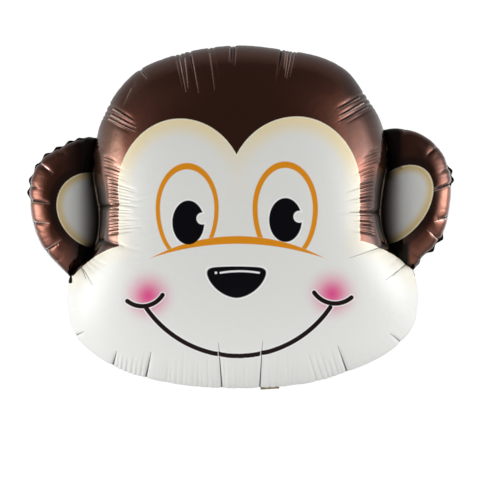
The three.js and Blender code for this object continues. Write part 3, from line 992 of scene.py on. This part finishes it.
def white_shapes(p):
    """The face's mask, the ears' patches, and how cream the white is."""
    # The mask: two lobes over the eyes, the straight sides under them and the cheeks
    lobes = (p.ellipse((180, 190), 65.2, 71.5, left_half=62.5),
             p.ellipse((297, 188), 63.2, 71.6, left_half=68.5))
    sides = p.both(p.between(118.2, 360.2), p.less(188, p.y))
    cheeks = p.either(p.circle((142.1, 331), 88.1), p.circle((333.9, 351.6), 113.7), p.less(276, p.y))
    head_only = p.step(p.on_ear, 0, 1, -30.0, 30.0, soft=False)
    mask = p.both(p.either(*lobes, sides, cheeks), head_only)
    left_patch = p.both(p.ellipse((96, 211), 42, 36, 40), p.less(p.x, 240))
    right_patch = p.both(p.ellipse((396, 205), 30, 46, 40), p.less(240, p.x))
    ear_only = p.step(p.on_ear, 0.85, 1, 30.0, -30.0, soft=False)
    patches = p.both(p.either(left_patch, right_patch), ear_only)
    # Cream along the mask's upper edges and round the ear patches, which fades inwards
    upper = p.times(p.step(p.y, 142, 195, 1.0, 0.3),
                    p.step(p.absolute(p.less(p.x, 237)), 4, 30, 0.55, 1.0))
    rounder = p.math("SMOOTH_MIN", *lobes, 26)
    rounder = p.math("SMOOTH_MIN", rounder, p.either(sides, cheeks), 10)
    mask_glow = p.times(p.step(rounder, -22, -2), upper)
    patch_glow = p.step(patches, -11, -1)
    glow = p.sum(p.times(mask_glow, p.less(1, p.on_ear)), p.times(patch_glow, p.on_ear))
    return mask, patches, glow


def white_print(p, white, glow):
    """The white ink with its cream, a pale line at its edges and the blush of the cheeks."""
    colour = p.blend(glow, WHITE, p.blend(p.on_ear, CREAM, DEEP_CREAM))
    colour = p.blend(p.times(p.step(white, -2.2, -0.6), 0.8), colour, PALE_EDGE)
    for centre in ((148.5, 296), (332.2, 294)):
        blush = p.math("POWER", p.step(p.circle(centre, 0), 0, 34, 1.0, 0.0), 1.5)
        colour = p.blend(blush, colour, PINK)
    return colour


def shade_by_head(p, left, right, left_most=1.0, right_most=1.0):
    """The painted shade of the ears towards the head, which starts at the first of two columns on the left
    and at the second on the right. The two shares say how free of it the ears' outer parts are."""
    free = p.both(p.step(p.x, *left, left_most, 0.0), p.step(p.x, *right, 0.0, right_most))
    return p.times(p.on_ear, p.less(1, free))


def root_gap_shade(p):
    """Painted shadow, near black, in the gaps between the ears' roots and the head, and a softer strip of
    painted shade up each neck.
    """
    upper_gaps = p.either(p.both(p.between(82.5, 110), p.less(p.y, 173)),
                          p.both(p.between(370, 401), p.less(p.y, 168)))
    lower_gaps = p.either(p.both(p.between(77, 110), p.less(245, p.y)),
                          p.both(p.between(370, 408.5), p.less(243, p.y)))
    on_ears = p.step(p.on_ear, 0, 1, 30.0, -30.0, soft=False)
    left_strip = p.both(p.between(92, 101.5), p.less(p.y, 184), p.less(152, p.y))
    right_strip = p.both(p.between(381, 390), p.less(p.y, 178), p.less(150, p.y))
    return p.both(p.inked(p.both(p.either(upper_gaps, lower_gaps), on_ears), 3.2),
                  p.times(p.inked(p.either(left_strip, right_strip), 6), 0.75))


def brown_print(p, patches, ear_shade, gaps):
    """The brown ink, with painted shade in the shaded places and painted highlights in the brightest."""
    # Painted shade round the patches, on the left ear's inner part and on the right ear's upper part
    shade_near_patch = p.product(p.on_ear, p.step(patches, 6, 10, 0.62, 0.0))
    inner_left = p.product(p.on_ear, p.step(p.x, 62, 74, 0, 0.5), p.step(p.x, 90, 100, 1, 0))
    upper_right = p.product(p.on_ear, p.step(p.x, 410, 425, 0, 0.42), p.step(p.y, 178, 188, 1, 0))
    shade_near_patch = p.both(shade_near_patch, inner_left, upper_right)
    # Painted highlights up the left neck and along the ears' outer tubes
    painted_highlight = p.step(p.ellipse((110, 172), 9, 66), -0.5, 9, 0.36, 0.0)
    left_tube = p.product(p.step(p.x, 48, 54, 0.04, 0.0),
                          p.step(p.absolute(p.less(p.y, 213)), 8, 13, 1, 0))
    right_tube = p.product(p.step(p.x, 430, 436, 0.0, 0.07),
                           p.step(p.absolute(p.less(p.y, 203)), 12, 17, 1, 0))
    painted_highlight = p.both(painted_highlight, p.times(p.both(left_tube, right_tube), p.on_ear))
    brown = p.blend(painted_highlight, BROWN, HIGHLIGHT_BROWN)
    # Painted shade on the head's steep foil beside the necks and under the folds at their lower ends
    left_steep = p.product(p.step(p.x, 107, 111, 0.85, 0.0), p.step(p.y, 168, 196))
    right_steep = p.product(p.step(p.x, 360, 376, 0.28, 0.75), p.step(p.y, 165, 185))
    right_upper = p.product(p.step(p.x, 335, 352, 0.0, 0.5), p.step(p.y, 150, 170, 1.0, 0.0))
    below_folds = p.either(p.both(p.between(92, 122), p.half_plane((121, 246.5), (98, 239.3))),
                           p.both(p.between(370, 392), p.half_plane((389, 241.5), (360, 257))))
    below_folds = p.step(below_folds, -1.5, 1.5, 0.6, 0.0)
    beside_mask = p.both(p.step(p.x, 122, 126, 1, 0), p.step(p.x, 330, 334))
    steep_shade = p.both(left_steep, right_steep, right_upper, below_folds)
    steep_shade = p.product(steep_shade, p.less(1, p.on_ear), beside_mask)
    brown = p.blend(p.both(shade_near_patch, steep_shade), brown, SHADE_BROWN)
    # Painted shade on the ears towards the head
    brown = p.blend(ear_shade, brown, SHADE_BROWN)
    # Painted shadow in the gaps at the ears' roots
    return p.blend(gaps, brown, GAP_SHADOW_BLACK)


def eyes(p):
    """The outlines of the eyes, cut off by the bridge of the muzzle, and the pupils."""
    above_bridge = p.times(p.circle((237.5, 417.9), 181.8), -1)
    outlines = []
    for centre, outer, inner in (((187.2, 208), (31.5, 45), (27.2, 38.6)),
                                 ((285.2, 208.5), (32.7, 47), (27.6, 40.6))):
        around = p.ellipse(centre, *outer, lower_half=53)
        ring = p.both(around, p.times(p.ellipse(centre, *inner, lower_half=49), -1))
        outlines.append(p.both(ring, above_bridge))
    pupils = p.either(p.ellipse((188.3, 222.5), 16, 22), p.ellipse((285.5, 220), 16.4, 22))
    glints = p.either(p.circle((202.4, 218.5), 6), p.circle((299.4, 216.7), 6))
    return outlines, p.both(pupils, p.times(glints, -1))


def face_print(p, colour, root_tabs):
    """The eyes, the bridge, the nose, the mouth and the ink at the ears' roots over a colour."""
    outlines, pupils = eyes(p)
    bridge = p.both(p.circle((237.5, 417.9), 181.8), p.times(p.circle((237.5, 513.8), 270), -1))
    nose = p.rounded_nose((236.5, 267.6), 30.2, 30.4)
    mouth = p.either(
        p.arc((146.2, 308), (238.3, 356), (330.3, 307.2), 2.3),
        p.arc((127.3, 301), (145.4, 306), (162.6, 294.9), 2.3),
        p.arc((314.2, 292.6), (331.8, 303.3), (351.4, 297.5), 2.3),
    )
    halo = p.inked(p.either(p.less(p.either(pupils, nose), 1.4), p.less(mouth, 0.9)))
    colour = p.blend(halo, colour, HALO)
    colour = p.blend(p.inked(p.either(*outlines, bridge)), colour, ORANGE)
    colour = p.blend(p.inked(p.either(pupils, nose, root_tabs)), colour, INK)
    colour = p.blend(p.inked(mouth), colour, MOUTH_INK)
    shine = p.either(p.arc((220.5, 272.8), (240, 271.2), (259, 272.8), 0.95), p.circle((215.9, 272.8), 1.3))
    return p.blend(p.inked(shine), colour, NOSE_SHINE)


def painted_creases(p):
    """The painted shadows in the deep creases' bottoms and the painted highlights on the flanks beside
    them.
    """
    fold_shadows, flank_highlights = 0.0, 0.0
    off_ears = p.less(1, p.on_ear)
    for crease in creases:
        if not crease.dark and not crease.shine:
            continue
        where = p.on_ear if crease.on_ear else off_ears
        bottom_shadow, flank_highlight = p.fold(crease)
        if crease.dark:
            fold_shadows = p.both(fold_shadows, p.times(bottom_shadow, where))
        if crease.shine:
            flank_highlights = p.both(flank_highlights, p.times(flank_highlight, where))
    return fold_shadows, flank_highlights


def front_print():
    """The front sheet's film with the face, the patches and the brown round them, with painted shade,
    shadow and highlights.
    """
    p = Print("printed_foil")
    node = p.nodes.new("ShaderNodeAttribute")
    node.attribute_name = "margin"
    on_margin = p.step(node.outputs["Fac"], 0.02, 0.25)
    mask, patches, glow = white_shapes(p)
    white = p.either(mask, patches)
    white_ink = p.inked(white)
    # Painted shade on the ears and on their patches towards the head
    patch_shade = shade_by_head(p, (76, 98), (384, 404), 0.85, 0.88)
    ear_shade = shade_by_head(p, (66, 88), (391, 411))
    # Painted shadow in the gaps at the ears' roots and painted shade up each neck
    gaps = root_gap_shade(p)
    # The patches' white takes its painted shade here
    colour = p.blend(p.times(patch_shade, 0.9), white_print(p, white, glow), SHADED_WHITE)
    colour = p.blend(white_ink, brown_print(p, patches, ear_shade, gaps), colour)
    root_tabs = p.either(p.arc((69.5, 272), (70, 277), (70.2, 281.5), 2.0),
                         p.arc((413, 266), (415, 270.5), (416.6, 275), 2.0))
    above_tabs = p.less(p.apart(p.object_place())[2], WELD_Z + TAB_HEIGHT)
    root_tabs = p.both(root_tabs, p.times(above_tabs, 1000 / PIXEL))
    colour = face_print(p, colour, root_tabs)
    # The weld between the head and an ear shows the bare film
    on_weld = p.product(p.on_ear, p.less(1, p.on_ear), 4)
    between_roots = p.product(p.step(p.y, 164, 174), p.step(p.y, 243, 250, 1.0, 0.0))
    on_weld = p.times(p.step(on_weld, 0.05, 0.5), between_roots)
    colour = p.blend(on_weld, colour, WELD)
    tab_ink = p.inked(root_tabs)
    covered = p.product(white_ink, p.less(1, on_weld), p.less(1, tab_ink))
    # Painted shadow in the deep folds, painted shade on the ears' margins and in the gaps at the roots,
    # painted highlights on the folds' flanks; the root tabs' ink stays black
    fold_shadows, flank_highlights = painted_creases(p)
    colour = p.blend(flank_highlights, colour, p.blend(covered, FLANK_HIGHLIGHT, WHITE_FLANK_HIGHLIGHT))
    margin_shade_and_tab_ink = p.times(p.both(on_margin, tab_ink), p.less(1, covered))
    darkened = p.both(p.times(fold_shadows, 0.88), margin_shade_and_tab_ink, p.times(gaps, 0.9))
    lit = p.less(1, darkened)
    p.set(
        Base_Color=p.blend(darkened, colour, SHADOW_AND_INK_BLACK),
        Metallic=p.product(p.step(covered, 0, 1, 1.0, 0.06), lit, p.less(1, flank_highlights)),
        Roughness=p.step(covered, 0, 1, 0.22, 0.36),
        Coat_Weight=p.product(p.step(covered, 0, 1, 0.8, 0.08), lit, p.step(ear_shade, 0, 1, 1.0, 0.2)),
        Coat_Roughness=0.1,
        Specular_IOR_Level=p.times(p.step(covered, 0, 1, 0.5, 0.08), lit),
    )
    p.bump(p.noise(GRAIN, 3), GRAIN_DEPTH)
    return p.material


def brown_foil():
    """The back sheet's plain film, a little uneven in its brown."""
    p = Paint("brown_foil")
    p.set(
        Base_Color=p.blend(p.step(p.noise(9, 2), 0.3, 0.7), RED_BROWN, BROWN),
        Metallic=1.0,
        Roughness=0.22,
        Coat_Weight=1.0,
        Coat_Roughness=0.1,
    )
    p.bump(p.noise(GRAIN, 3), GRAIN_DEPTH)
    return p.material


front.data.materials.append(front_print())
back.data.materials.append(brown_foil())
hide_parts("front_foil")
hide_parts("back_foil")
for sheet in (front, back):
    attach(sheet, "root")

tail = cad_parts["filling_tail"]
tail_paint = Paint("tail_film")
tail_paint.set(Base_Color=TAIL_FILM, Metallic=0.9, Roughness=0.35)
tail.data.materials.clear()
tail.data.materials.append(tail_paint.material)


# Stage, lights and camera

SIDE_LIGHT, STRIP_LIGHT, GLOW, GROUND_LIGHT, DIM_LIGHT = 3.1, 2.8, 0.28, 0.6, 0.12
EVEN_LIGHT = 0.12  # for the white print, which takes more of an even light than the foil mirrors
PAPER = 0.97  # the white that the camera sees behind the balloon
FLOOR_HALF = 6


def sideways(work, x, y):
    """The light of a side panel in a direction, with a brighter strip straight to the side."""
    aside = work.absolute(work.less(y, work.times(x, 0.14)))
    panel = work.math("POWER", work.step(aside, 0.05, 0.75, 1.0, 0.0), 1.4)
    strip = work.step(work.absolute(work.less(y, work.times(x, 0.04))), 0.02, 0.4, STRIP_LIGHT, 0.0)
    glow = work.step(work.absolute(y), 0.35, 1.0, GLOW, 0.0)
    return work.sum(work.sum(work.times(panel, SIDE_LIGHT), strip), glow)


def plain_floor():
    """A white floor that the foil mirrors only faintly, as a balloon in the air would."""
    mesh = bpy.data.meshes.new("floor")
    corners = [(FLOOR_HALF * x, FLOOR_HALF * y, 0) for x, y in ((-1, -1), (1, -1), (1, 1), (-1, 1))]
    mesh.from_pydata(corners, [], [(0, 1, 2, 3)])
    floor = bpy.data.objects.new("floor", mesh)
    bpy.context.scene.collection.objects.link(floor)
    p = Paint("floor_paper")
    x, y = p.apart(p.object_place())[:2]
    away = p.math("SQRT", p.sum(p.sum(p.times(x, x), p.times(y, y)), 0.01))
    x, y = p.math("DIVIDE", x, away), p.math("DIVIDE", y, away)
    side = p.times(sideways(p, x, y), p.step(away, 0.5, 3.0, 0.15, 0.6))
    ground = p.step(y, -0.85, -0.2, GROUND_LIGHT * 0.3, 0.0)
    nearby = p.step(away, 0.4, 2.0, DIM_LIGHT * 1.6, DIM_LIGHT)
    mirrored = p.sum(p.sum(side, ground), nearby)
    p.set(
        Base_Color=(0.1, 0.1, 0.1, 1),
        Roughness=0.9,
        Specular_IOR_Level=0.0,
        Emission_Color=(1, 1, 1, 1),
        Emission_Strength=p.step(p.camera_sees(), 0, 1, mirrored, PAPER),
    )
    mesh.materials.append(p.material)


def studio_air():
    """Soft light from two tall panels at the left and right and from a pale ground below the chin."""
    world = bpy.data.worlds.new("studio_air")
    bpy.context.scene.world = world
    world.use_nodes = True
    air = NodeWork(world.node_tree)
    x, y, z = air.apart(air.nodes.new("ShaderNodeTexCoord").outputs["Generated"])
    panels = air.product(
        sideways(air, x, y),
        air.step(z, 0.3, 0.78, 1.0, 0.0),
        air.step(z, -0.02, 0.06, 0.6, 1.0),
        air.step(air.absolute(x), 0.1, 0.4),
    )
    ground = air.step(y, -0.85, -0.2, GROUND_LIGHT, 0.0)
    even = air.times(air.nodes.new("ShaderNodeLightPath").outputs["Is Diffuse Ray"], EVEN_LIGHT)
    light = air.sum(air.sum(panels, ground), air.sum(even, DIM_LIGHT))
    shown = air.step(air.camera_sees(), 0, 1, light, PAPER)
    background = air.nodes["Background"]
    air.links.new(shown, background.inputs["Strength"])
    background.inputs["Color"].default_value = (1, 1, 1, 1)


plain_floor()
studio_air()

camera_data = bpy.data.cameras.new("camera")
camera_data.sensor_width = 36
camera_data.lens = 36 * CAMERA_HEIGHT / (PHOTO_SIZE * PIXEL)
camera_data.clip_end = 50
camera = bpy.data.objects.new("camera", camera_data)
bpy.context.scene.collection.objects.link(camera)
camera.location = (
    (PHOTO_SIZE / 2 - PHOTO_MIDDLE[0]) * PIXEL / 1000,
    (PHOTO_MIDDLE[1] - PHOTO_SIZE / 2) * PIXEL / 1000,
    WELD_Z + CAMERA_HEIGHT / 1000,
)
bpy.context.scene.camera = camera
bpy.context.scene.view_settings.view_transform = "Standard"
